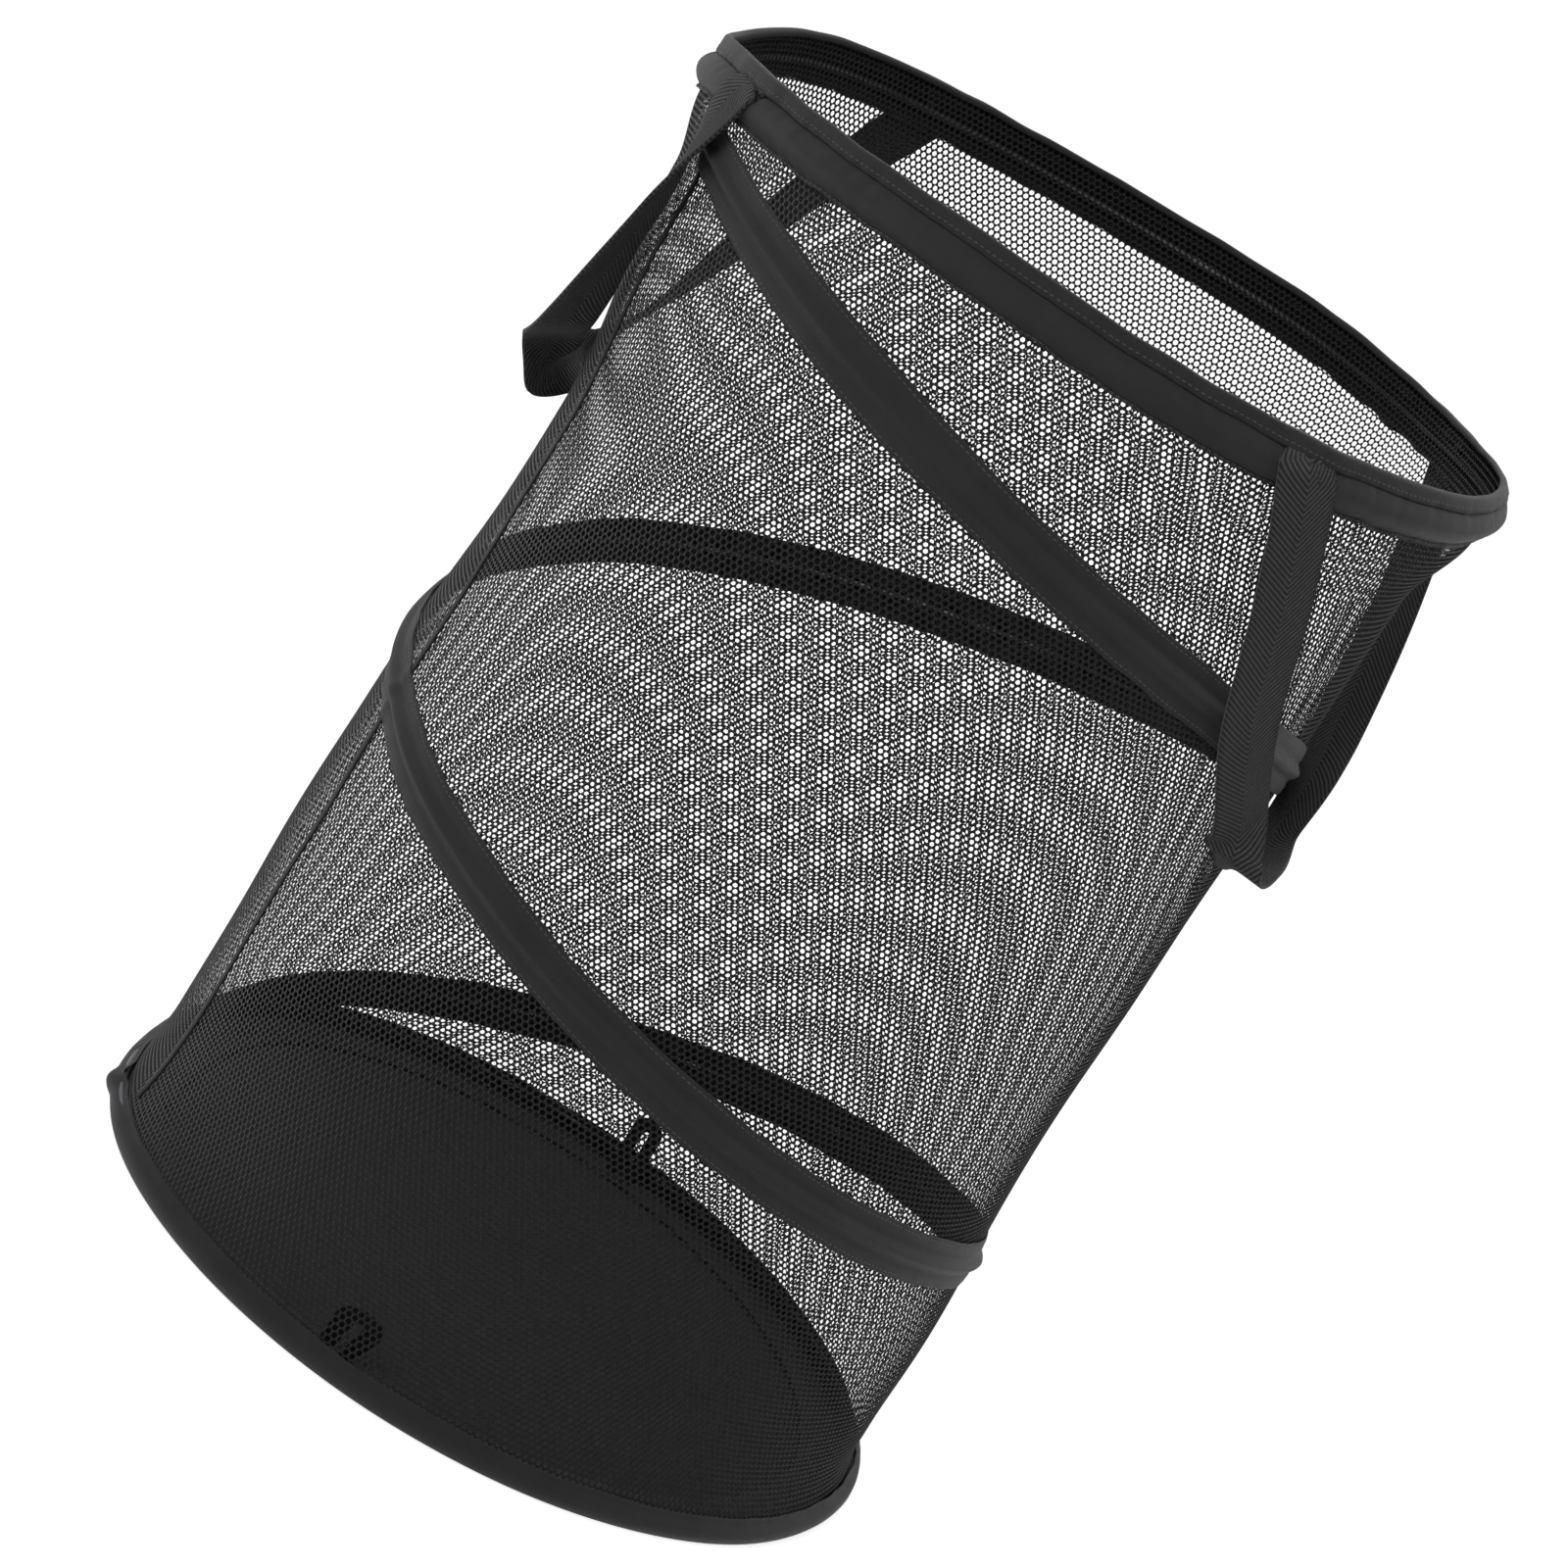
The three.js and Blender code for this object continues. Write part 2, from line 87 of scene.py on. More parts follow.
# Floor and light: a pale studio floor that fades into a white backdrop and keeps the soft shadow of
# the hamper, with one large lamp above the view and two paler ones from the right and behind.
class Amount:
    """What a node puts out. Arithmetic on it adds Math nodes to its tree."""

    def __init__(self, tree, socket):
        self.tree = tree
        self.socket = socket

    def worked(self, operation, *values):
        node = self.tree.nodes.new("ShaderNodeMath")
        node.operation = operation
        for place, value in zip(node.inputs, values):
            join(self.tree, place, value)
        return Amount(self.tree, node.outputs[0])

    def __add__(self, other):
        return self.worked("ADD", self, other)

    def __sub__(self, other):
        return self.worked("SUBTRACT", self, other)

    def __mul__(self, other):
        return self.worked("MULTIPLY", self, other)

    def __truediv__(self, other):
        return self.worked("DIVIDE", self, other)

    def __rsub__(self, other):
        return self.worked("SUBTRACT", other, self)

    def __rtruediv__(self, other):
        return self.worked("DIVIDE", other, self)

    def __pow__(self, other):
        return self.worked("POWER", self, other)

    def __abs__(self):
        return self.worked("ABSOLUTE", self)

    __radd__ = __add__
    __rmul__ = __mul__

    def sine(self):
        return self.worked("SINE", self)

    def most(self, other):
        return self.worked("MAXIMUM", self, other)


def join(tree, place, value):
    if isinstance(value, Amount):
        tree.links.new(value.socket, place)
    else:
        place.default_value = value


class Finish:
    """A material or a world: its node tree, and the shader that the finish is made on."""

    def __init__(self, owner, shader):
        owner.use_nodes = True
        self.owner = owner
        self.tree = owner.node_tree
        self.shader = self.tree.nodes[shader]

    def node(self, kind, settings, inputs, output=0):
        node = self.tree.nodes.new(kind)
        for name, value in settings.items():
            setattr(node, name, value)
        for place, value in inputs.items():
            join(self.tree, node.inputs[place], value)
        return Amount(self.tree, node.outputs[output])

    def feed(self, **values):
        for name, value in values.items():
            join(self.tree, self.shader.inputs[name.replace("_", " ")], value)

    def seen(self):
        """1 where the eye looks, straight or in a gloss or through glass."""
        outputs = self.node("ShaderNodeLightPath", {}, {}).socket.node.outputs
        camera_ray, glossy_ray, glass_ray = (
            Amount(self.tree, outputs[f"Is {ray} Ray"]) for ray in ("Camera", "Glossy", "Transmission")
        )
        return camera_ray.most(glossy_ray).most(glass_ray)


backdrop = bpy.data.worlds.new("backdrop")
bpy.context.scene.world = backdrop
world_light = 0.1
sky = Finish(backdrop, "Background")
sky_seen = sky.seen()
sky.feed(Color=(1, 1, 1, 1), Strength=sky_seen * (1 - world_light) + world_light)

floor_size = 30
floor_drop = 0.0004
floor_own_light = 0.86
floor_mesh = bmesh.new()
bmesh.ops.create_grid(floor_mesh, x_segments=2, y_segments=2, size=floor_size)
floor_data = bpy.data.meshes.new("floor")
floor_mesh.to_mesh(floor_data)
floor_mesh.free()
floor = bpy.data.objects.new("floor", floor_data)
bpy.context.scene.collection.objects.link(floor)
floor.location.z = -floor_drop
paper = Finish(bpy.data.materials.new("floor_paper"), "Principled BSDF")
paper.feed(Base_Color=(0.82, 0.82, 0.82, 1), Roughness=0.9)
paper.feed(Emission_Color=(1, 1, 1, 1), Emission_Strength=paper.seen() * floor_own_light)
floor_data.materials.append(paper.owner)


def lamp(name, place, size, power):
    data = bpy.data.lights.new(name, "AREA")
    data.size = size
    data.energy = power
    made = bpy.data.objects.new(name, data)
    bpy.context.scene.collection.objects.link(made)
    made.location = place
    made.rotation_euler = Vector(place).to_track_quat("Z", "Y").to_euler()


lamp("key_lamp", place=(-0.45, -2.6, 2.5), size=1.6, power=40)
lamp("fill_lamp", place=(2.6, -1.2, 1.6), size=1.8, power=0.4)
lamp("back_lamp", place=(0.4, 2.6, 2.2), size=1.8, power=8)

# Mesh wall: one panel of black polyester knit, sewn to a tube and stretched between the two rings.
# The knit is open, with a six-sided hole every 2.9 mm in rows 2.5 mm apart, and each row is shifted
# by half a hole. It flares to the rings, and is pulled in at a waist, most of all on the left.
rim_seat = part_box("mesh_wall_4")[1].x
base_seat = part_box("mesh_wall_1")[1].x
tube_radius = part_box("mesh_wall_2")[1].x
rim_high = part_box("top_rim_casing")[1].z
rim_tape_height = 0.0225
rim_tape_foot = rim_high - rim_tape_height
base_tape_below_solid = 0.003
base_tape_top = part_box("bottom_rim_casing")[1].z - base_tape_below_solid
wall_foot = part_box("mesh_wall_1")[0].z
wall_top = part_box("mesh_wall_4")[1].z
rim_flare = 0.035
base_flare = 0.024
waist_height = 0.345
waist_spread_low = 0.115
waist_spread_high = 0.055
foot_swell_height = 0.085
foot_swell_spread = 0.05
# Soft swells round the hamper: the size of each, then its middle and its half width in degrees
waist = ((0.0100, 192, 36),)
slack = ((0.0015, 191, 50),)
foot_swell = ((0.0055, 11, 48),)
rim_swells = ((0.003, 266, 24), (0.0035, 70, 26), (0.0022, 11, 26), (-0.0095, 188, 21))
rim_tunnel_swells = ((0.0022, 11, 30), (-0.0015, 191, 26))
base_swells = ((-0.0080, 186, 24), (0.0018, 11, 40))
rim_lift = 0.0008
rim_lift_start = 0.42
rim_spread = 0.0033
rim_lean = 0.0027
rim_lean_side = math.radians(11)
ripple = 0.0006
# Waves of the ripple: radians for each radian round the tube, and for each metre up it
ripple_waves = ((7, 21), (-3, 40))
yarn_depth = 0.0004
hole_pitch = 0.0029
row_pitch = 0.0025
hole_share = 0.416
weld_distance = 1e-6
fold_travel = -next(joint["range_m"][0] for joint in frame["joints"] if joint["name"] == "collapse")
fold_reach = rim_tape_foot - base_tape_top
fold_lap = 0.004


def eased(share):
    """A share from 0 to 1 that starts and ends softly."""
    share = np.clip(share, 0, 1)
    return share * share * (3 - 2 * share)


def near(place, line, reach):
    """1 on a line, and less on both sides of it."""
    return np.exp(-(((place - line) / reach) ** 2))


def turned_by(angle, middle):
    """How far an angle is from a middle one, from -pi to pi."""
    return (angle - middle + math.pi) % (2 * math.pi) - math.pi


def swells(angle, waves):
    """The size that soft swells add up to at an angle."""
    return sum(
        size * np.exp(-((turned_by(angle, math.radians(middle)) / math.radians(half)) ** 2))
        for size, middle, half in waves
    )


def rim_rise(angle):
    """How far the rim stands above a level one."""
    return rim_lift + swells(angle, rim_swells)


def bulge_rise(angle):
    """How much more the tunnel of the rim casing rises than its top edge does."""
    return swells(angle, rim_tunnel_swells)


def rim_out(angle):
    """How far the rim stands outside the solid one."""
    return rim_spread + rim_lean * np.cos(angle - rim_lean_side)


def base_out(angle):
    """How far the base ring stands outside a round one."""
    return swells(angle, base_swells)


def raised(angle, height):
    """The height of a point of the knit, which follows the rim up and down near the top."""
    share = eased((height - rim_lift_start) / (rim_tape_foot - rim_lift_start))
    return height + rim_rise(angle) * share


def wall_at(angle, height):
    """Radius of the outer face of the knit."""
    rim_part = eased((height - rim_tape_foot + rim_flare) / rim_flare)
    base_part = np.exp(-np.maximum(height - base_tape_top, 0) / base_flare)
    radius = tube_radius + (rim_seat + rim_out(angle) - tube_radius) * rim_part
    radius += (base_seat + base_out(angle) - tube_radius) * base_part
    free = eased((height - base_tape_top) / base_flare) * eased((rim_tape_foot - height) / rim_flare)
    spread = np.where(height < waist_height, waist_spread_low, waist_spread_high)
    pulled_in = swells(angle, waist) * near(height, waist_height, spread) + swells(angle, slack)
    pushed_out = swells(angle, foot_swell) * near(height, foot_swell_height, foot_swell_spread)
    wrinkles = ripple
    for around, upwards in ripple_waves:
        wrinkles = wrinkles * np.sin(around * angle + upwards * height)
    return radius + free * (wrinkles + pushed_out - pulled_in)


def keep_flat(bm):
    """Stores where each corner lies on the flat cloth, in metres, as the UV map."""
    flat = bm.loops.layers.uv.new("flat")
    for face in bm.faces:
        for loop in face.loops:
            loop[flat].uv = loop.vert.co.xy


def piece(name, bm, finish, body="root", thickness=0, offset=-1, back=None):
    for face in bm.faces:
        face.smooth = True
    data = bpy.data.meshes.new(name)
    bm.to_mesh(data)
    bm.free()
    data.materials.append(finish.owner)
    made = bpy.data.objects.new(name, data)
    bpy.context.scene.collection.objects.link(made)
    if thickness:
        shell = made.modifiers.new("thickness", "SOLIDIFY")
        shell.thickness = thickness
        shell.offset = offset
        if back:
            data.materials.append(back.owner)
            shell.material_offset = 1
    if body:
        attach(made, body)
    return made


def folds_flat(made, lap=0):
    """Gives a piece its own copy of its mesh. The lap is not used."""
    1 - (fold_travel - lap) / fold_reach
    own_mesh(made)


def flat_place(finish):
    """How far along and across the flat cloth a point lies, in metres."""
    flat = finish.node("ShaderNodeUVMap", {"uv_map": "flat"}, {})
    parts = finish.node("ShaderNodeSeparateXYZ", {}, {0: flat})
    return parts, Amount(finish.tree, parts.socket.node.outputs[1])


def bumped(finish, height, depth):
    finish.feed(Normal=finish.node("ShaderNodeBump", {}, {"Distance": depth, "Height": height}))


def tinted(finish, dark, light, share):
    """A colour between a dark and a light grey."""
    colours = {6: (*dark, 1), 7: (*light, 1), 0: share}
    mixed = finish.node("ShaderNodeMix", {"data_type": "RGBA"}, colours, 2)
    finish.feed(Base_Color=mixed)


def cloud(finish, scale, detail=2.0):
    """Soft noise over the piece, from 0 to 1."""
    settings = {"noise_dimensions": "3D"}
    spot = finish.node("ShaderNodeTexCoord", {}, {}, 3)
    return finish.node("ShaderNodeTexNoise", settings, {"Vector": spot, "Scale": scale, "Detail": detail})


yarn = Finish(bpy.data.materials.new("black_knit"), "Principled BSDF")
yarn.feed(Roughness=0.62, Sheen_Weight=0.2, Sheen_Roughness=0.5, Specular_IOR_Level=0.12)
yarn_along, yarn_across = flat_place(yarn)
loops = (yarn_along * (2 * math.pi / hole_pitch)).sine() * (yarn_across * (math.pi / row_pitch)).sine()
yarn_patches = loops * 0.35 + cloud(yarn, 60) * 0.65
tinted(yarn, (0.012, 0.012, 0.0125), (0.027, 0.027, 0.0283), yarn_patches)
bumped(yarn, loops * loops, depth=0.0003)

wall_length = 2 * math.pi * tube_radius
wall_holes = 2 * round(wall_length / hole_pitch / 2)
wall_pitch = wall_length / wall_holes
wall_rows = round((wall_top - wall_foot) / row_pitch)
wall_row = (wall_top - wall_foot) / wall_rows
hole_corner = hole_share * wall_pitch
yarn_share = 1 - 1.5 * math.sqrt(3) * hole_corner**2 / (wall_pitch * wall_row)


def hole_sides(bm):
    """Edges on one side of each hole, where the yarn's own thickness shows."""
    sides = []
    for edge in bm.edges:
        if edge.is_boundary:
            middle = (edge.verts[0].co + edge.verts[1].co) / 2
            if edge.link_faces[0].calc_center_median().x > middle.x + hole_corner / 8:
                sides.append(edge)
    return sides


def knit_band(name, low, high, body="root"):
    """The knit between two heights: a lattice of holes, cut from a grid whose every point opens."""
    first = math.floor((low - wall_foot) / wall_row) - 1
    rows = math.ceil((high - wall_foot) / wall_row) + 1 - first
    columns = wall_holes + 2
    bm = bmesh.new()
    shape = Matrix.Diagonal((columns, rows, 1, 1)) @ Matrix.Translation((0.5, 0.5, 0))
    bmesh.ops.create_grid(bm, x_segments=columns, y_segments=rows, size=0.5, matrix=shape)
    for vert in bm.verts:
        row = round(vert.co.y) + first
        vert.co.x = (round(vert.co.x) - 1 + (row % 2) / 2) * wall_pitch
        vert.co.y = wall_foot + row * wall_row
    bmesh.ops.triangulate(bm, faces=bm.faces[:], quad_method="SHORT_EDGE")
    holes = bmesh.ops.bevel(
        bm, geom=bm.verts[:], offset=hole_corner, offset_type="OFFSET", segments=1,
        profile=0.5, affect="VERTICES", material=-1,
    )["faces"]
    bmesh.ops.delete(bm, geom=holes, context="FACES")
    for part in bmesh.ops.extrude_edge_only(bm, edges=hole_sides(bm))["geom"]:
        if isinstance(part, bmesh.types.BMVert):
            part.co.z = -yarn_depth
    for edge, outward in (
        ((0, 0, 0), (-1, 0, 0)),
        ((wall_length, 0, 0), (1, 0, 0)),
        ((0, low, 0), (0, -1, 0)),
        ((0, high, 0), (0, 1, 0)),
    ):
        cut = bm.verts[:] + bm.edges[:] + bm.faces[:]
        bmesh.ops.bisect_plane(bm, geom=cut, plane_co=edge, plane_no=outward, clear_outer=True)
    keep_flat(bm)
    flat = np.array([vert.co[:] for vert in bm.verts])
    angles = flat[:, 0] / tube_radius
    radii = wall_at(angles, flat[:, 1]) + flat[:, 2]
    bent = np.stack((radii * np.cos(angles), radii * np.sin(angles), raised(angles, flat[:, 1])), axis=1)
    for vert, place in zip(bm.verts, bent):
        vert.co = place
    bmesh.ops.remove_doubles(bm, verts=bm.verts[:], dist=weld_distance)
    made = piece(name, bm, yarn, body)
    high - low
    yarn_share * wall_length * (high - low)
    return made


knit_band("knit_foot", wall_foot, base_tape_top)
knit_band("knit_top", rim_tape_foot, wall_top, "top_rim")
knit_bands = 5
wall_bands = 4
band_height = (rim_tape_foot - base_tape_top) / knit_bands
for band in range(knit_bands):
    low = base_tape_top + band * band_height
    made = knit_band(f"knit_band_{band + 1}", low, low + band_height)
    if band < wall_bands:
        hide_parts(f"mesh_wall_{band + 1}")
    folds_flat(made, fold_lap)

# Rings: two hoops of spring wire, blued so that it is nearly black, each closed at the back by a
# crimped sleeve. They lie in the rim and base casings, and neither is quite round.
steel = Finish(bpy.data.materials.new("blued_spring_steel"), "Principled BSDF")
steel.feed(Metallic=0.9, Roughness=0.38)
tinted(steel, (0.05, 0.052, 0.058), (0.12, 0.125, 0.14), cloud(steel, 90, 4.0))
bumped(steel, cloud(steel, 900, 3.0), depth=0.00005)
ring_wire_radius = 0.0015
ring_sleeve_radius = 0.0022
ring_sleeve_length = 0.014
ring_sleeve_side = math.pi / 2
ring_cells = (560, 10)


def round_axis(radius, angle, height):
    """A point from its distance from the axis, its angle round it and its height."""
    return Vector((radius * math.cos(angle), radius * math.sin(angle), height))


def strip(length, width, cells, place, ring=False):
    """A strip from a flat grid. Place puts each flat point on the hamper, and a ring meets itself."""
    bm = bmesh.new()
    shape = Matrix.Diagonal((length, width, 1, 1)) @ Matrix.Translation((0.5, 0.5, 0))
    bmesh.ops.create_grid(bm, x_segments=cells[0], y_segments=cells[1], size=0.5, matrix=shape)
    keep_flat(bm)
    for vert in bm.verts:
        vert.co = place(vert.co.x, vert.co.y)
    if ring:
        bmesh.ops.remove_doubles(bm, verts=bm.verts[:], dist=weld_distance)
    return bm


def hoop(name, seat, height_at, body):
    """A closed wire ring. Seat and height_at give its radius and height at an angle."""
    length = 2 * math.pi * seat(0)

    def place(along, around):
        angle = 2 * math.pi * along / length
        turn = 2 * math.pi * around
        from_sleeve = abs(float(turned_by(angle, ring_sleeve_side))) * seat(angle)
        thickness = ring_sleeve_radius if from_sleeve < ring_sleeve_length / 2 else ring_wire_radius
        radius = seat(angle) + thickness * math.cos(turn)
        return round_axis(radius, angle, height_at(angle) + thickness * math.sin(turn))

    bm = strip(length, 1, ring_cells, place, ring=True)
    bmesh.ops.recalc_face_normals(bm, faces=bm.faces[:])
    return piece(name, bm, steel, body)


base_wire_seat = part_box("bottom_ring_wire")[1].x - ring_wire_radius
base_wire_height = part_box("bottom_ring_wire")[0].z + ring_wire_radius
rim_wire_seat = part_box("top_ring_wire")[1].x - ring_wire_radius
base_spring = hoop(
    "base_spring",
    lambda angle: base_wire_seat + float(base_out(angle)),
    lambda angle: base_wire_height,
    "root",
)
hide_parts("bottom_ring_wire", "bottom_ring_ferrule")
rim_wire_over_foot = 0.0088
rim_wire_height = rim_tape_foot + rim_wire_over_foot
rim_spring = hoop(
    "rim_spring",
    lambda angle: rim_wire_seat + float(rim_out(angle)),
    lambda angle: rim_wire_height + float(rim_rise(angle) + bulge_rise(angle)),
    "top_rim",
)
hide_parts("top_ring_wire", "top_ring_ferrule")

# Rim casing: a strip of dark grey polyester tape, sewn in a tube over the rim wire, with a doubled
# band above it that is folded over the top edge of the knit. Two rows of stitches hold it, and the
# tape puckers along both. The band lifts where a handle is sewn in, and the rim sags at the left.
weave_pitch = 0.0005


def tape_finish(name, dark, light):
    made = Finish(bpy.data.materials.new(name), "Principled BSDF")
    made.feed(Roughness=0.5, Sheen_Weight=0.15, Sheen_Roughness=0.4, Specular_IOR_Level=0.12)
    along, across = flat_place(made)
    weave = (along * (2 * math.pi / weave_pitch)).sine() * (across * (2 * math.pi / weave_pitch)).sine()
    tinted(made, dark, light, cloud(made, 45, 3.0) * 0.75 + weave * 0.12 + 0.1)
    bumped(made, weave * 0.4 + cloud(made, 400) * 0.5, depth=0.0002)
    return made


tape = tape_finish("grey_polyester_tape", (0.030, 0.030, 0.0315), (0.056, 0.056, 0.059))
# The reverse tape is the same tape made about six times darker. On the inner faces of the rim, base and
# spiral tapes this darker colour is painted shade. The seam binding takes the same dark colour.
tape_shade_and_binding = tape_finish("grey_tape_painted_shade_and_binding", (0.005, 0.005, 0.0053), (0.010, 0.010, 0.0105))

tape_thickness = 0.0005
rim_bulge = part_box("top_rim_casing")[1].x - rim_seat
rim_hem = 0.0015
rim_band = 0.0065
rim_band_rise = 0.0024
pucker_length = 0.011
pucker_height = 0.03
strap_lift = 0.0013
strap_lift_reach = 0.02
strap_ends = [math.radians(end) for end in (134.2, 224.0, -45.7, 40.4)]


def lifted(angle):
    """1 where the band runs over a sewn handle end, and 0 away from it."""
    half = strap_lift_reach / rim_seat
    return sum(math.exp(-((turned_by(angle, end) / half) ** 6)) for end in strap_ends)


def outline(points):
    """An outline as a function from the length along it to a point, and that length at each point."""
    outwards, upwards = np.array(points).T
    steps = np.linalg.norm(np.diff(points, axis=0), axis=1)
    reached = np.concatenate(([0], np.cumsum(steps)))

    def at(length):
        return float(np.interp(length, reached, outwards)), float(np.interp(length, reached, upwards))

    return at, reached


def bulge(low, high, foot, crown, steps=12, fullness=0.8):
    """A tunnel of tape seen from its end: foot and crown are how far it stands from the knit."""
    shares = [step / steps for step in range(steps + 1)]
    return [
        (foot + (crown - foot) * math.sin(math.pi * share) ** fullness, low + (high - low) * share)
        for share in shares
    ]


def pucker(point, seed, length=pucker_length):
    """Small folds that run across a strip of tape, from -1 to 1."""
    return noise.noise(Vector((point.x / length, point.y / length, point.z / pucker_height + seed)))


rim_stitch_low = rim_tape_foot + rim_hem
rim_stitch_high = rim_high - rim_band
rim_tunnel = bulge(rim_stitch_low, rim_stitch_high, foot=0.0009, crown=rim_bulge)
rim_fold = 0.0013
rim_points = [
    (0.0015, rim_tape_foot),
    *rim_tunnel,
    (rim_band_rise - 0.0004, rim_stitch_high - 0.0006),
    (rim_band_rise, rim_stitch_high - 0.0001),
    (rim_band_rise, rim_stitch_high + 0.0018),
    (rim_band_rise, rim_high - 0.0012),
    (rim_band_rise - 0.0008, rim_high - 0.0002),
    (0.0002, rim_high),
    (-rim_fold + 0.0004, rim_high - 0.0003),
    (-rim_fold, rim_high - 0.0014),
    (-rim_fold + 0.0003, rim_high - 0.0028),
]
rim_outline, rim_reached = outline(rim_points)
rim_width = rim_reached[-1]
rim_length = 2 * math.pi * rim_seat
rim_first_stitch = rim_reached[1] / 2
rim_band_stitch = rim_reached[len(rim_tunnel) + 3]
rim_past_crown = rim_reached[8]
rim_cells = (640, 44)
# How far the tape puckers out or down: at its foot, along the seam, and slowly all round
foot_fold_out = 0.0012
foot_fold_down = 0.0011
foot_crease_out = 0.0007
seam_crease_out = 0.0010
slow_fold_out = 0.0004
slow_fold_down = 0.0005
foot_fold_reach = 0.005
seam_below_band = 0.001
seam_fold_reach = 0.004
band_edge = 0.0006
band_lean = 0.0022
band_lean_share = ((1, 11, 40),)


def rim_place(along, across):
    angle = along / rim_seat
    rise, height = rim_outline(across)
    point = round_axis(rim_seat, angle, height)
    fold = pucker(point, 3)
    crease = pucker(point, 9, 0.005)
    outside = 1 if rise > 0 else 0
    foot = near(height, rim_tape_foot, foot_fold_reach) * outside
    seam = near(height, rim_stitch_high - seam_below_band, seam_fold_reach) * outside
    band = eased((height - rim_stitch_high + seam_below_band) / band_edge) * outside
    band *= 1 if across > rim_past_crown else 0
    lift = strap_lift * lifted(angle) * band
    radius = rim_seat + rise + foot_fold_out * fold * foot + foot_crease_out * crease * foot
    radius += seam_crease_out * crease * seam
    radius += slow_fold_out * pucker(point, 5, 0.03) + lift + float(rim_out(angle))
    top_part = float(eased((height - rim_stitch_high) / rim_band))
    radius -= band_lean * top_part * float(swells(angle, band_lean_share))
    height += foot_fold_down * fold * foot + slow_fold_down * pucker(point, 7, 0.02)
    height += float(rim_rise(angle) + bulge_rise(angle) * (1 - top_part))
    return round_axis(radius, angle, height)


# The inner face of the rim tape takes the darkened tape colour, as painted shade.
rim_tape = piece(
    "rim_tape", strip(rim_length, rim_width, rim_cells, rim_place, ring=True),
    tape, "top_rim", tape_thickness, back=tape_shade_and_binding,
)
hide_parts("top_rim_casing")

# Stitches: grey polyester thread, a little paler than the tape, in straight rows of lockstitch.
# Each stitch is a slim bead of thread that follows the puckers of the strip it holds.
thread = Finish(bpy.data.materials.new("grey_thread"), "Principled BSDF")
thread.feed(Roughness=0.55, Sheen_Weight=0.3)
tinted(thread, (0.045, 0.045, 0.047), (0.08, 0.08, 0.085), cloud(thread, 500))
bumped(thread, cloud(thread, 2500), depth=0.00008)
stitch_pitch = 0.0027
stitch_share = 0.76
thread_radius = 0.00027


def stitches(name, rows, body):
    """Rows of stitches. Each row is its length and a function from a place along it to a point."""
    bm = bmesh.new()
    for length, place in rows:
        count = round(length / stitch_pitch)
        for index in range(count):
            start = place(length * (index + 0.5 - stitch_share / 2) / count)
            end = place(length * (index + 0.5 + stitch_share / 2) / count)
            along = end - start
            turn = along.to_track_quat("X", "Z").to_matrix().to_4x4()
            size = Matrix.Diagonal((along.length / 2, thread_radius, thread_radius, 1))
            matrix = Matrix.Translation((start + end) / 2) @ turn @ size
            bmesh.ops.create_icosphere(bm, subdivisions=1, radius=1, matrix=matrix)
    return piece(name, bm, thread, body)


def stitch_rows(length, place, *acrosses):
    """Rows that run the whole length of a strip, each at a place across it."""
    return [(length, lambda along, across=across: place(along, across)) for across in acrosses]


rim_stitches = stitches(
    "rim_stitches", stitch_rows(rim_length, rim_place, rim_first_stitch, rim_band_stitch), "top_rim"
)

# Base casing: a strip of the same tape over the base wire, folded under the knit and back over the
# edge of the base cloth. It stands on the floor, and a row of stitches runs along each edge.
base_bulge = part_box("bottom_rim_casing")[1].x - base_seat
base_hem = 0.002
base_points = [
    (-0.0215, 0.0024),
    (-0.0205, 0.0023),
    (-0.0035, 0.0021),
    (-0.0012, 0.0006),
    (0.0005, 0.0001),
    (0.0036, 0.0006),
    *bulge(0.0012, base_tape_top - base_hem, foot=0.0042, crown=base_bulge, fullness=1.0)[2:11],
    (0.0017, base_tape_top - base_hem),
    (0.0012, base_tape_top),
]
base_outline, base_reached = outline(base_points)
base_width = base_reached[-1]
base_length = 2 * math.pi * base_seat
base_stitch = base_reached[-2]
base_hem_stitch_edge = 0.0015
base_hem_stitch = base_reached[1] + base_hem_stitch_edge
base_cells = (560, 26)
base_edge_reach = 0.004
base_fold_out = 0.0006
base_crease_out = 0.0003
base_slow_fold = 0.0004
base_edge_wave = 0.0007
# The casing is drawn to a flat point where the tape's two ends meet
base_point = ((0.003, 208, 2.5),)
base_flattened = ((0.15, 208, 16),)
base_outer_part = 0.001


def base_place(along, across):
    angle = along / base_seat
    rise, height = base_outline(across)
    point = round_axis(base_seat, angle, height)
    edge = near(height, base_tape_top, base_edge_reach)
    folds = base_fold_out * pucker(point, 21) + base_crease_out * pucker(point, 23, 0.005)
    radius = base_seat + rise + edge * folds
    radius += base_slow_fold * pucker(point, 25, 0.05) + float(base_out(angle) + swells(angle, base_point))
    height += edge * base_edge_wave * pucker(point, 27, 0.016)
    height *= 1 - float(swells(angle, base_flattened)) * (1 if rise > base_outer_part else 0)
    return round_axis(radius, angle, height)


# The inner face of the base tape takes the darkened tape colour, as painted shade.
base_tape = piece(
    "base_tape", strip(base_length, base_width, base_cells, base_place, ring=True),
    tape, "root", tape_thickness, back=tape_shade_and_binding,
)
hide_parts("bottom_rim_casing")
base_stitches = stitches(
    "base_stitches", stitch_rows(base_length, base_place, base_stitch, base_hem_stitch), "root"
)

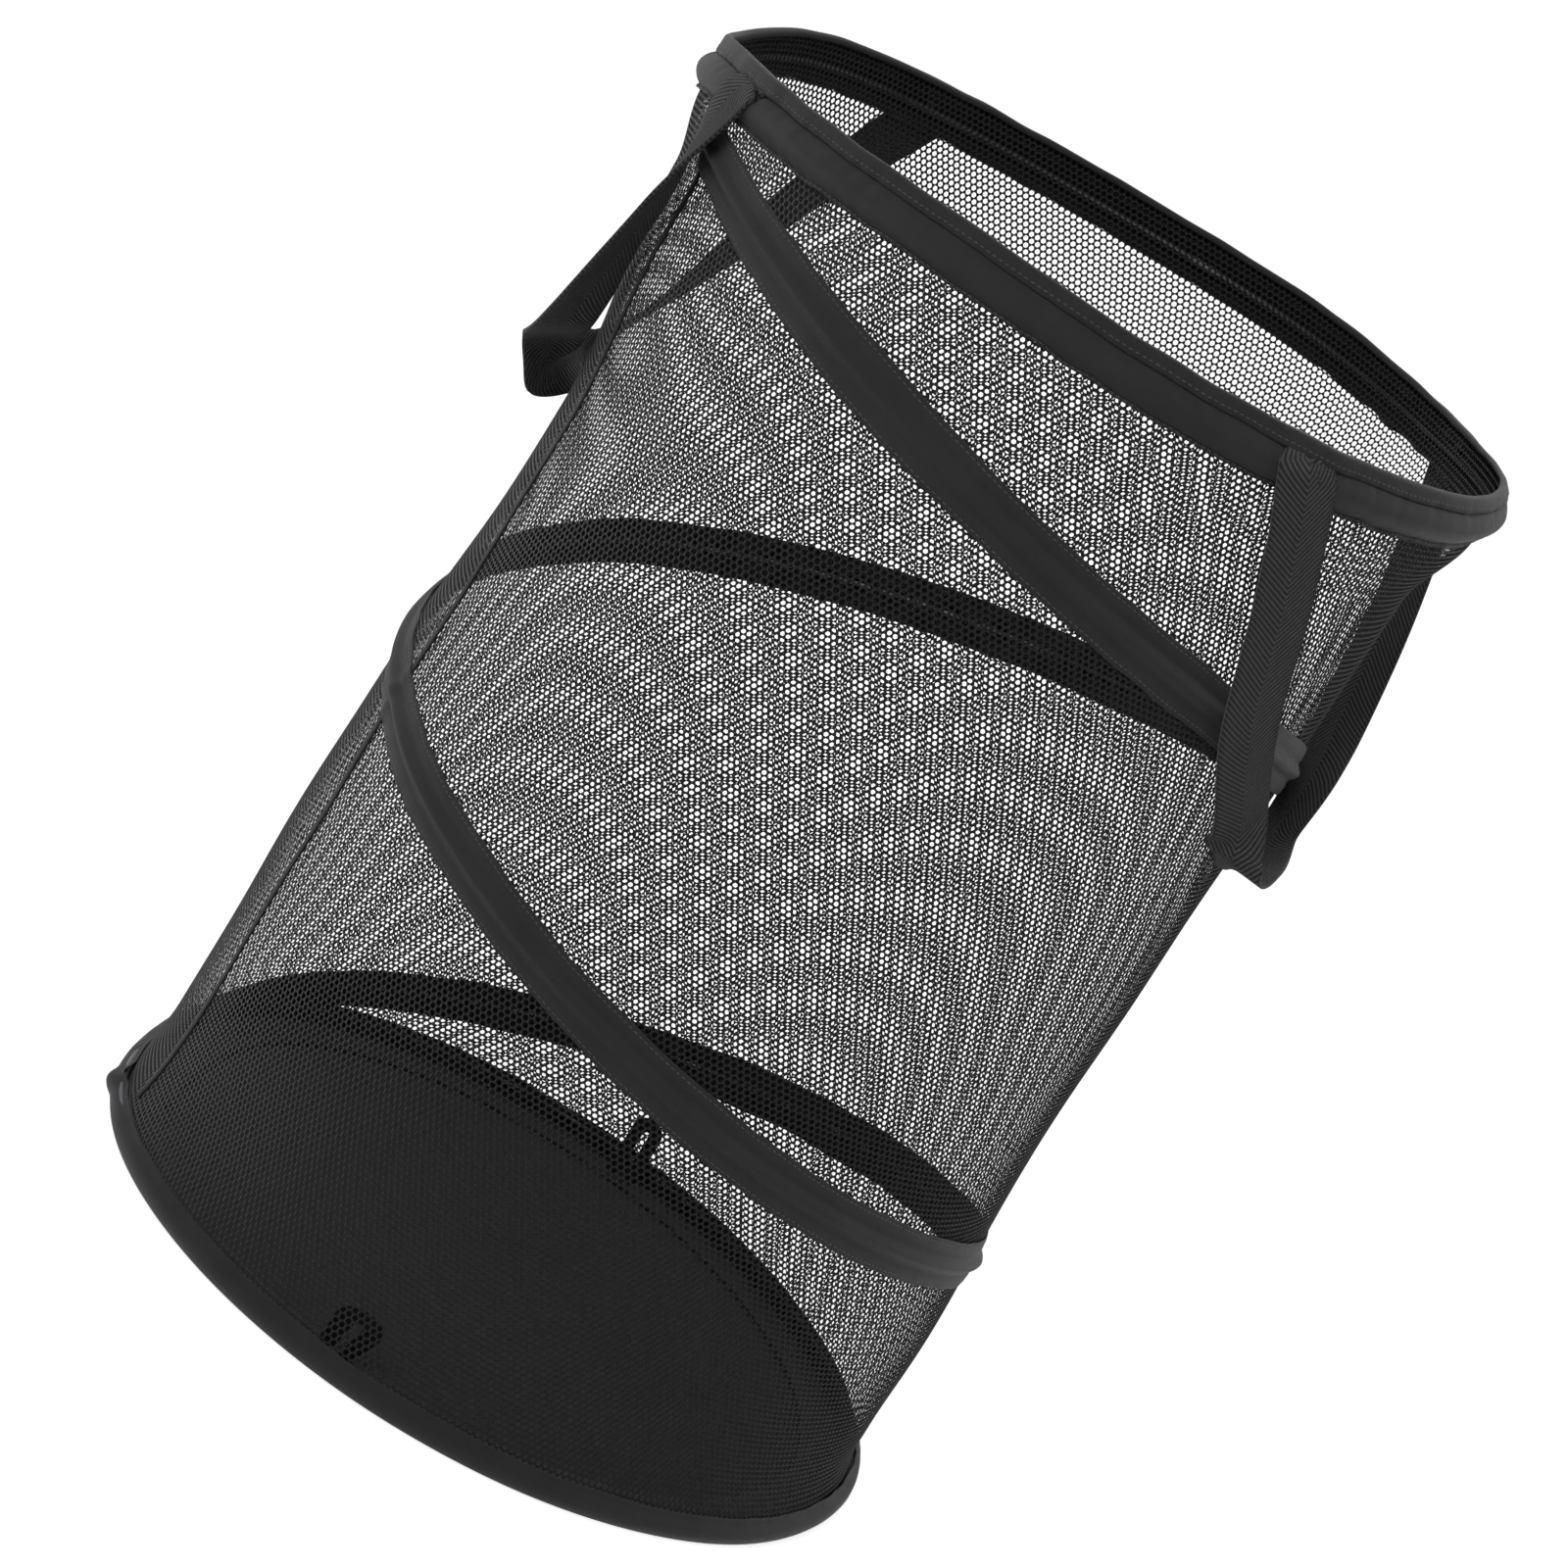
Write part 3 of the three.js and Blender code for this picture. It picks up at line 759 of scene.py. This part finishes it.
# Base: a round of closed dark grey woven cloth, sewn into the base casing. It lies on the floor
# with a few soft rises.
cloth = Finish(bpy.data.materials.new("dark_base_cloth"), "Principled BSDF")
cloth.feed(Roughness=0.75, Sheen_Weight=0.15, Sheen_Roughness=0.5, Specular_IOR_Level=0.12)
cloth_along, cloth_across = flat_place(cloth)
cloth_weave_pitch = 0.0007
cloth_warp = (cloth_along * (2 * math.pi / cloth_weave_pitch)).sine()
cloth_weft = (cloth_across * (2 * math.pi / cloth_weave_pitch)).sine()
cloth_weave = cloth_warp * cloth_weft
cloth_patches = cloud(cloth, 14, 4.0) * 0.8 + cloth_weave * 0.15
tinted(cloth, (0.017, 0.017, 0.018), (0.034, 0.034, 0.036), cloth_patches)
bumped(cloth, cloth_weave * 0.5 + cloud(cloth, 300), depth=0.0002)
base_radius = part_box("base_panel")[1].x
base_thickness = 0.0006
base_rings = 30
base_facets = 120
base_level = 0.0009
base_swell = 0.0003
base_swell_length = 0.05


def base_rise(x, y):
    return base_level + base_swell * noise.noise(Vector((x / base_swell_length, y / base_swell_length, 1)))


bm = bmesh.new()
spoke = [bm.verts.new((base_radius * ring / base_rings, 0, 0)) for ring in range(base_rings + 1)]
for inner, outer in zip(spoke, spoke[1:]):
    bm.edges.new((inner, outer))
bmesh.ops.spin(
    bm, geom=bm.verts[:] + bm.edges[:], cent=(0, 0, 0), axis=(0, 0, 1), angle=2 * math.pi,
    steps=base_facets, use_merge=True,
)
bmesh.ops.remove_doubles(bm, verts=bm.verts[:], dist=weld_distance)
bmesh.ops.recalc_face_normals(bm, faces=bm.faces[:])
if sum(face.normal.z for face in bm.faces) < 0:
    bmesh.ops.reverse_faces(bm, faces=bm.faces[:])
keep_flat(bm)
for vert in bm.verts:
    share = math.hypot(vert.co.x, vert.co.y) / base_radius
    fitted = 1 + share * float(base_out(math.atan2(vert.co.y, vert.co.x))) / base_radius
    vert.co.z = base_rise(vert.co.x, vert.co.y) + base_thickness / 2
    vert.co.xy = vert.co.xy * fitted
base_cloth = piece("base_cloth", bm, cloth, "root", base_thickness)
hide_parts("base_panel")

# Wall seam: where the knit panel is closed to a tube, its edges are turned over and bound with a
# narrow black fold of tape, from the rim casing down to the base casing, under the spiral.
seam_low, seam_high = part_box("wall_seam")[0].z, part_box("wall_seam")[1].z
seam_length = seam_high - seam_low
seam_side = math.radians(217.5)
seam_width = 0.0042
seam_rise = 0.0001
seam_crown = 0.0004
seam_wander = 0.0006
seam_wander_length = 0.03
seam_cells = (180, 6)


def on_wall(angle, height, rise):
    """A point that stands a little outside the knit."""
    return round_axis(float(wall_at(angle, height)) + rise, angle, float(raised(angle, height)))


def seam_place(along, across):
    height = seam_low + along
    spread = across - seam_width / 2
    angle = seam_side + spread / tube_radius
    rounding = seam_crown * (1 - (2 * spread / seam_width) ** 2)
    wander = seam_wander * noise.noise(Vector((height / seam_wander_length, 4, 0)))
    return on_wall(angle + wander / tube_radius, height, seam_rise + rounding)


bm = strip(seam_length, seam_width, seam_cells, seam_place)
bmesh.ops.recalc_face_normals(bm, faces=bm.faces[:])
# The binding takes the darkened tape colour that paints shade on the inner faces of the tapes.
seam_binding = piece("seam_binding", bm, tape_shade_and_binding, "root", tape_thickness, 1)
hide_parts("wall_seam")
folds_flat(seam_binding)

# Spiral: one long spring wire inside a 22 mm strip of the same tape, sewn to the outside of the
# knit along both edges. It leaves the rim casing at the wall seam and runs down nearly two turns to
# the base casing, hanging below a straight run by the sags, which are evenly spaced along it.
spiral_turns = 1.875
spiral_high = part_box("top_rim_casing")[0].z - 0.006
spiral_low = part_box("bottom_rim_casing")[1].z + 0.00625
spiral_sags = (0, 0.0003, 0.001, 0.0025, 0.005, 0.0098, 0.0128, 0.0106, 0.0123, 0.0085, 0.0072, 0.0147, 0.018)
spiral_end_gap = 0.0003
spiral_cells = (900, 20)
spiral_width = 0.0222
spiral_stitch_edge = 0.0018
ridge_width = 0.0078
ridge_rise = 0.0042
ridge_fullness = 1.6
lip_rise = 0.0009
ridge_foot = 0.0066
ridge_foot_rise = 0.0006
ridge_foot_reach = 0.0028
spiral_edge_reach = 0.004
spiral_fold_out = 0.0005
spiral_crease_out = 0.0003
spiral_slow_fold = 0.0003
spiral_edge_wave = 0.0007
over_seam_rise = 0.0009
over_seam_reach = 0.004
spiral_angle = 2 * math.pi * spiral_turns
spiral_length = spiral_angle * tube_radius
spiral_slope = math.atan2(spiral_high - spiral_low, spiral_length)


def curved(rows, place):
    """A smooth curve through evenly spaced rows of values, at a place counted in rows."""
    rows = np.array(rows, dtype=float)
    rows = np.concatenate((2 * rows[:1] - rows[1:2], rows, 2 * rows[-1:] - rows[-2:-1]))
    first = min(max(math.floor(place), 0), len(rows) - 4)
    share = place - first
    a, b, c, d = rows[first : first + 4]
    return b + share * (c - a + share * (2 * a - 5 * b + 4 * c - d + share * (3 * (b - c) + d - a))) / 2


def spiral_height(share):
    sag = float(curved(spiral_sags, share * (len(spiral_sags) - 1)))
    return spiral_high + (spiral_low - spiral_high) * share - sag


def spiral_point(along, across, rise):
    share = along / spiral_length
    height = spiral_height(share) + across / math.cos(spiral_slope)
    height = min(max(height, base_tape_top + spiral_end_gap), rim_tape_foot - spiral_end_gap)
    return on_wall(seam_side + spiral_angle * share, height, rise)


def spiral_place(along, across):
    side = across - spiral_width / 2
    ridge = max(0, 1 - abs(2 * side / ridge_width) ** ridge_fullness)
    flat = lip_rise + ridge_foot_rise * near(abs(side), ridge_foot, ridge_foot_reach)
    point = spiral_point(along, side, 0)
    edge = near(abs(side), spiral_width / 2, spiral_edge_reach)
    fold = edge * (spiral_fold_out * pucker(point, 31, 0.012) + spiral_crease_out * pucker(point, 33, 0.007))
    from_seam = float(turned_by(math.atan2(point.y, point.x), seam_side)) * tube_radius
    rise = flat + (ridge_rise - flat) * ridge + fold + spiral_slow_fold * pucker(point, 35, 0.03)
    rise += over_seam_rise * near(from_seam, 0, over_seam_reach)
    wander = edge * spiral_edge_wave * pucker(point, 37, 0.02) * (1 if side > 0 else -1)
    return spiral_point(along, side + wander, rise)


bm = strip(spiral_length, spiral_width, spiral_cells, spiral_place)
# The inner face of the spiral tape takes the darkened tape colour, as painted shade.
spiral_tape = piece("spiral_tape", bm, tape, "root", tape_thickness, back=tape_shade_and_binding)
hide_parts("spiral_casing")
spiral_rows = stitch_rows(
    spiral_length, spiral_place, spiral_stitch_edge, spiral_width - spiral_stitch_edge
)
spiral_stitches = stitches("spiral_stitches", spiral_rows, "root")
folds_flat(spiral_stitches)
folds_flat(spiral_tape)

spiral_wire_radius = 0.0015
spiral_wire_seat = 0.0018
spiral_wire_sides = 8
spiral_wire_cells = (360, spiral_wire_sides)


def wire_place(along, around):
    turn = 2 * math.pi * around
    rise = spiral_wire_seat + spiral_wire_radius * math.cos(turn)
    return spiral_point(along, spiral_wire_radius * math.sin(turn), rise)


bm = strip(spiral_length, 1, spiral_wire_cells, wire_place, ring=True)
open_ends = [edge for edge in bm.edges if edge.is_boundary]
bmesh.ops.holes_fill(bm, edges=open_ends, sides=spiral_wire_sides)
bmesh.ops.recalc_face_normals(bm, faces=bm.faces[:])
spiral_spring = piece("spiral_spring", bm, steel, "root")
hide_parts("spiral_wire")
folds_flat(spiral_spring)

# Handles: two lengths of 25 mm herringbone webbing. Each end is sewn down under the doubled band of
# the rim, and the strap leans out of the band, over the bulge of the rim and down in a long loop
# that turns on its own length. The two loops hang differently.
webbing = Finish(bpy.data.materials.new("herringbone_webbing"), "Principled BSDF")
webbing.feed(Roughness=0.7, Sheen_Weight=0.15, Sheen_Roughness=0.5, Specular_IOR_Level=0.1)
strap_width = 0.025
strap_thickness = 0.0015
rib_pitch = 0.0025
rib_lean = 1.1
pick_pitch = 0.0009
selvedge_sharpness = 24
web_along, web_across = flat_place(webbing)
rib_phase = (web_along + abs(web_across - strap_width / 2) * rib_lean) * (2 * math.pi / rib_pitch)
ribs = rib_phase.sine() * 0.5 + 0.5
picks = (web_across * (2 * math.pi / pick_pitch)).sine() * 0.5 + 0.5
selvedge = (abs(web_across - strap_width / 2) * 2 / strap_width) ** selvedge_sharpness
web_patches = (ribs * 0.85 + picks * 0.08) * (1 - selvedge * 0.4) + cloud(webbing, 70) * 0.1
tinted(webbing, (0.009, 0.009, 0.0095), (0.145, 0.145, 0.151), web_patches)
bumped(webbing, ribs * (1 - selvedge) + picks * 0.2, depth=0.0008)

strap_gap = 0.0003
strap_crown = (rim_stitch_low + rim_stitch_high) / 2
strap_tuck = 0.012
strap_cells = (260, 10)
strap_samples = 401
strap_step = 0.02
strap_seam_top = rim_stitch_high + 0.002
strap_wall_gap = 1.2 * strap_thickness
# A strap lies on the rim casing up to the first of these rows from its end, and hangs by the second
lies_to = 1
hangs_from = 1.7
# Rows along each strap: degrees round the rim, height, radius, and degrees that it is turned
hangs = {
    "left": (
        (134.1, 0.5020, 0.1757, 0), (134.4, 0.4952, 0.1803, -3), (145.9, 0.4359, 0.1811, -14),
        (155.1, 0.3912, 0.1792, -26), (164.3, 0.3620, 0.1764, -32), (172.8, 0.3469, 0.1732, -4),
        (177.8, 0.3456, 0.1700, 37), (188.2, 0.3434, 0.1702, -6), (193.3, 0.3589, 0.1733, -53),
        (206.4, 0.3769, 0.1740, -58), (214.3, 0.4240, 0.1750, -42), (223.8, 0.4948, 0.1795, -15),
        (224.2, 0.5015, 0.1748, 2),
    ),
    "right": (
        (-45.8, 0.5036, 0.1794, 0), (-45.4, 0.4966, 0.1839, -5), (-37.0, 0.4464, 0.1814, 5),
        (-29.2, 0.3970, 0.1803, 8), (-19.0, 0.3582, 0.1808, 14), (-17.0, 0.3442, 0.1848, 87),
        (-6.5, 0.3373, 0.1805, 63), (7.1, 0.3395, 0.1779, 35), (14.3, 0.3671, 0.1797, 36),
        (22.9, 0.3934, 0.1815, 40), (31.3, 0.4396, 0.1842, 20), (40.5, 0.4978, 0.1848, 0),
        (40.3, 0.5048, 0.1802, 0),
    ),
}


def seat_radius(angle, height):
    """Radius of a strap that lies on the rim casing, at a height on its upper half."""
    tunnel = [(rise, place) for rise, place in rim_tunnel if place >= strap_crown]
    rise = np.interp(height - rim_rise(angle), [place for _, place in tunnel], [rise for rise, _ in tunnel])
    return rim_seat + float(rim_out(angle) + rise) + strap_thickness / 2 + strap_gap


def strap_maker(rows):
    """A function from a flat place on a strap to its point in the loop, and the strap's length."""
    last = len(rows) - 1

    def centre(at):
        degrees, height, radius, _ = curved(rows, at)
        return round_axis(radius, math.radians(degrees), height)

    reaches = np.linspace(0, last, strap_samples)
    points = [centre(reach) for reach in reaches]
    steps = [(b - a).length for a, b in zip(points, points[1:])]
    lengths = np.concatenate(([0], np.cumsum(steps)))

    def place(along, across):
        side = across - strap_width / 2
        along -= strap_tuck
        at = float(np.interp(along, lengths, reaches))
        tangent = (centre(min(at + strap_step, last)) - centre(max(at - strap_step, 0))).normalized()
        point = centre(at) + tangent * (along - float(np.interp(at, reaches, lengths)))
        away = Vector((point.x, point.y, 0)).normalized()
        flat = tangent.cross(away).normalized()
        twist = math.radians(curved(rows, at)[3])
        point += (flat * math.cos(twist) - away * math.sin(twist)) * side
        turn = math.atan2(point.y, point.x)
        height = min(point.z, strap_seam_top + float(rim_rise(turn)))
        radius = math.hypot(point.x, point.y)
        settle = float(eased((hangs_from - min(at, last - at)) / (hangs_from - lies_to)))
        radius += (seat_radius(turn, height) - radius) * settle
        if height < rim_tape_foot + float(rim_rise(turn)):
            radius = max(radius, float(wall_at(turn, height)) + strap_wall_gap)
        return round_axis(radius, turn, height)

    return place, lengths[-1] + 2 * strap_tuck


for side, rows in hangs.items():
    place, strap_length = strap_maker(rows)
    bm = strip(strap_length, strap_width, strap_cells, place)
    strap = piece(f"{side}_strap", bm, webbing, None, strap_thickness, 0)
    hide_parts(f"{side}_handle", f"{side}_handle_end_front", f"{side}_handle_end_back")
    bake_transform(strap)

# Elastic loops: a 6 mm ribbed elastic, doubled to a hairpin and sewn into the base seam at the
# front and at the back. They hold the folded hamper shut.
elastic = Finish(bpy.data.materials.new("black_ribbed_elastic"), "Principled BSDF")
elastic.feed(Roughness=0.7, Sheen_Weight=0.1, Specular_IOR_Level=0.1)
elastic_rib_pitch = 0.001
elastic_across = flat_place(elastic)[1]
elastic_ribs = (elastic_across * (2 * math.pi / elastic_rib_pitch)).sine() * 0.5 + 0.5
elastic_patches = elastic_ribs * 0.8 + cloud(elastic, 200) * 0.2
tinted(elastic, (0.004, 0.004, 0.004), (0.012, 0.012, 0.0125), elastic_patches)
bumped(elastic, elastic_ribs, depth=0.0003)
elastic_width = 0.006
elastic_gap = 0.003
elastic_thickness = 0.0012
elastic_stand = 0.0007
elastic_wave = 0.0006
elastic_wave_length = 0.008
elastic_cells = (72, 8)
# Each loop: its share of the solid's height, and how it leans and spreads as it goes up
elastic_shapes = {"front": (0.75, 0.2, 22), "back": (1, 0, 0)}
for side, (reach, lean, spread) in elastic_shapes.items():
    low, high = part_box(f"{side}_elastic_loop")
    face = (low.y + high.y) / 2
    face += math.copysign(elastic_stand, face)
    bend = (elastic_gap + elastic_width) / 2
    leg = (high.z - low.z) * reach - bend - elastic_width / 2
    elastic_length = 2 * leg + math.pi * bend

    def elastic_place(along, across):
        side_step = across - elastic_width / 2
        if along < leg:
            x, z = -bend - side_step, along
        elif along > elastic_length - leg:
            x, z = bend + side_step, elastic_length - along
        else:
            turn = (along - leg) / bend
            x, z = -(bend + side_step) * math.cos(turn), leg + (bend + side_step) * math.sin(turn)
        wave = elastic_wave * math.sin(z / elastic_wave_length)
        return Vector((x * (1 + spread * z) + lean * z, face + wave, low.z + z))

    bm = strip(elastic_length, elastic_width, elastic_cells, elastic_place)
    loop = piece(f"{side}_loop_elastic", bm, elastic, f"{side}_loop", elastic_thickness, 0)
    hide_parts(f"{side}_elastic_loop")
